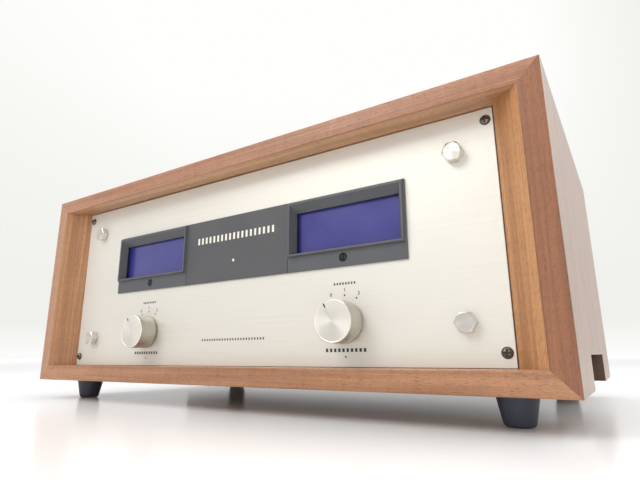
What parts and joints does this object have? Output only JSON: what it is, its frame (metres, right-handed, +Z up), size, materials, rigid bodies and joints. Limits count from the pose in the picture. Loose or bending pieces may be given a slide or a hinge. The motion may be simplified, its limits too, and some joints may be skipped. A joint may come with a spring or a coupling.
{
  "type": "stereo power amplifier",
  "caption": "Stereo power amplifier in a walnut sleeve: brushed panel with level meters and range knobs, finned heat sinks and screw terminals behind.",
  "frame": {"origin": "on the floor, under the middle of the sleeve", "axes": "+X to the right seen from the front, +Y from the front panel to the back, +Z up"},
  "size_m": [0.449, 0.2554, 0.1881],
  "materials": {
    "walnut": "oiled walnut, satin",
    "foot_rubber": "moulded rubber, matte",
    "brushed_aluminium": "brushed along the width, champagne anodised",
    "spun_aluminium": "turned face and bright chamfer",
    "bright_steel": "plated, satin",
    "dark_bronze": "dark bronze plating, worn",
    "charcoal_plastic": "moulded, satin",
    "blue_lens": "tinted, polished",
    "dial_card": "printed translucent card",
    "needle": "black lacquer",
    "phenolic": "moulded phenolic",
    "plated_steel": "zinc plated sheet",
    "black_paint": "fine black paint",
    "black_anodised": "black anodised extrusion",
    "circuit_board": "brown laminate",
    "copper_winding": "varnished winding",
    "capacitor_sleeve": "shrunk sleeve",
    "plated_brass": "nickel plated",
    "red_plastic": "moulded",
    "black_plastic": "moulded"
  },
  "bodies": {
    "amplifier": {"sleeve_top": "walnut", "sleeve_front_rail": "walnut", "sleeve_rear_rail": "walnut", "sleeve_left_side": "walnut", "sleeve_right_side": "walnut", "left_splayed_stile": "walnut", "right_splayed_stile": "walnut", "front_left_foot": "foot_rubber", "front_right_foot": "foot_rubber", "rear_left_foot": "foot_rubber", "rear_right_foot": "foot_rubber", "front_panel": "brushed_aluminium", "centre_plate": "charcoal_plastic", "upper_left_panel_bolt": "bright_steel", "upper_right_panel_bolt": "bright_steel", "lower_left_panel_bolt": "bright_steel", "lower_right_panel_bolt": "bright_steel", "upper_left_corner_screw": "dark_bronze", "upper_right_corner_screw": "dark_bronze", "lower_left_corner_screw": "dark_bronze", "lower_right_corner_screw": "dark_bronze", "left_meter_bezel": "charcoal_plastic", "right_meter_bezel": "charcoal_plastic", "left_meter_lens": "blue_lens", "right_meter_lens": "blue_lens", "left_meter_dial": "dial_card", "right_meter_dial": "dial_card", "left_meter_case": "phenolic", "right_meter_case": "phenolic", "left_range_switch": "phenolic", "right_range_switch": "phenolic", "chassis_pan": "plated_steel", "top_cover": "plated_steel", "rear_panel": "black_paint", "left_heat_sink": "black_anodised", "right_heat_sink": "black_anodised", "left_output_board": "circuit_board", "right_output_board": "circuit_board", "transformer_core": "black_paint", "transformer_winding": "copper_winding", "left_filter_capacitor": "capacitor_sleeve", "right_filter_capacitor": "capacitor_sleeve", "input_jacks": "plated_brass", "terminal_block": "phenolic", "mains_plate": "phenolic"},
    "left_knob": {"left_range_knob": "spun_aluminium", "left_range_shaft": "bright_steel"},
    "right_knob": {"right_range_knob": "spun_aluminium", "right_range_shaft": "bright_steel"},
    "left_zero_screw": {"left_zero_adjuster": "charcoal_plastic"},
    "right_zero_screw": {"right_zero_adjuster": "charcoal_plastic"},
    "left_arm": {"left_zero_arm": "bright_steel"},
    "right_arm": {"right_zero_arm": "bright_steel"},
    "left_needle": {"left_meter_needle": "needle"},
    "right_needle": {"right_meter_needle": "needle"},
    "left_red_cap": {"left_red_terminal_cap": "red_plastic"},
    "left_black_cap": {"left_black_terminal_cap": "black_plastic"},
    "right_red_cap": {"right_red_terminal_cap": "red_plastic"},
    "right_black_cap": {"right_black_terminal_cap": "black_plastic"},
    "fuse": {"fuse_cap": "black_plastic"}
  },
  "joints": [
    {"name": "left_knob_turn", "type": "hinge", "parent": "amplifier", "child": "left_knob", "pos_m": [-0.09565, -0.12675, 0.0565], "axis": [0, 1, 0], "range_deg": [0, 60]},
    {"name": "right_knob_turn", "type": "hinge", "parent": "amplifier", "child": "right_knob", "pos_m": [0.09565, -0.12675, 0.0565], "axis": [0, 1, 0], "range_deg": [0, 60]},
    {"name": "left_zero_screw_turn", "type": "hinge", "parent": "amplifier", "child": "left_zero_screw", "pos_m": [-0.09565, -0.11205, 0.098], "axis": [0, 1, 0], "range_deg": [-35, 35]},
    {"name": "right_zero_screw_turn", "type": "hinge", "parent": "amplifier", "child": "right_zero_screw", "pos_m": [0.09565, -0.11205, 0.098], "axis": [0, 1, 0], "range_deg": [-35, 35]},
    {"name": "left_zero_arm_swing", "type": "hinge", "parent": "amplifier", "child": "left_arm", "pos_m": [-0.09565, -0.10225, 0.0905], "axis": [0, 1, 0], "range_deg": [-4.45, 4.45]},
    {"name": "right_zero_arm_swing", "type": "hinge", "parent": "amplifier", "child": "right_arm", "pos_m": [0.09565, -0.10225, 0.0905], "axis": [0, 1, 0], "range_deg": [-4.45, 4.45]},
    {"name": "left_needle_swing", "type": "hinge", "parent": "left_arm", "child": "left_needle", "pos_m": [-0.09565, -0.10085, 0.0905], "axis": [0, 1, 0], "range_deg": [0, 84], "stiffness_Nm_per_rad": 0.00004},
    {"name": "right_needle_swing", "type": "hinge", "parent": "right_arm", "child": "right_needle", "pos_m": [0.09565, -0.10085, 0.0905], "axis": [0, 1, 0], "range_deg": [0, 84], "stiffness_Nm_per_rad": 0.00004},
    {"name": "left_red_cap_unscrew", "type": "slide", "parent": "amplifier", "child": "left_red_cap", "axis": [0, 1, 0], "range_m": [0, 0.005]},
    {"name": "left_black_cap_unscrew", "type": "slide", "parent": "amplifier", "child": "left_black_cap", "axis": [0, 1, 0], "range_m": [0, 0.005]},
    {"name": "right_red_cap_unscrew", "type": "slide", "parent": "amplifier", "child": "right_red_cap", "axis": [0, 1, 0], "range_m": [0, 0.005]},
    {"name": "right_black_cap_unscrew", "type": "slide", "parent": "amplifier", "child": "right_black_cap", "axis": [0, 1, 0], "range_m": [0, 0.005]},
    {"name": "fuse_draw", "type": "slide", "parent": "amplifier", "child": "fuse", "axis": [0, 1, 0], "range_m": [0, 0.036]}
  ],
  "couplings": [
    {"joint": "left_zero_screw_turn", "follows": "left_zero_arm_swing", "ratio": 7.8182},
    {"joint": "right_zero_screw_turn", "follows": "right_zero_arm_swing", "ratio": 7.8182}
  ]
}
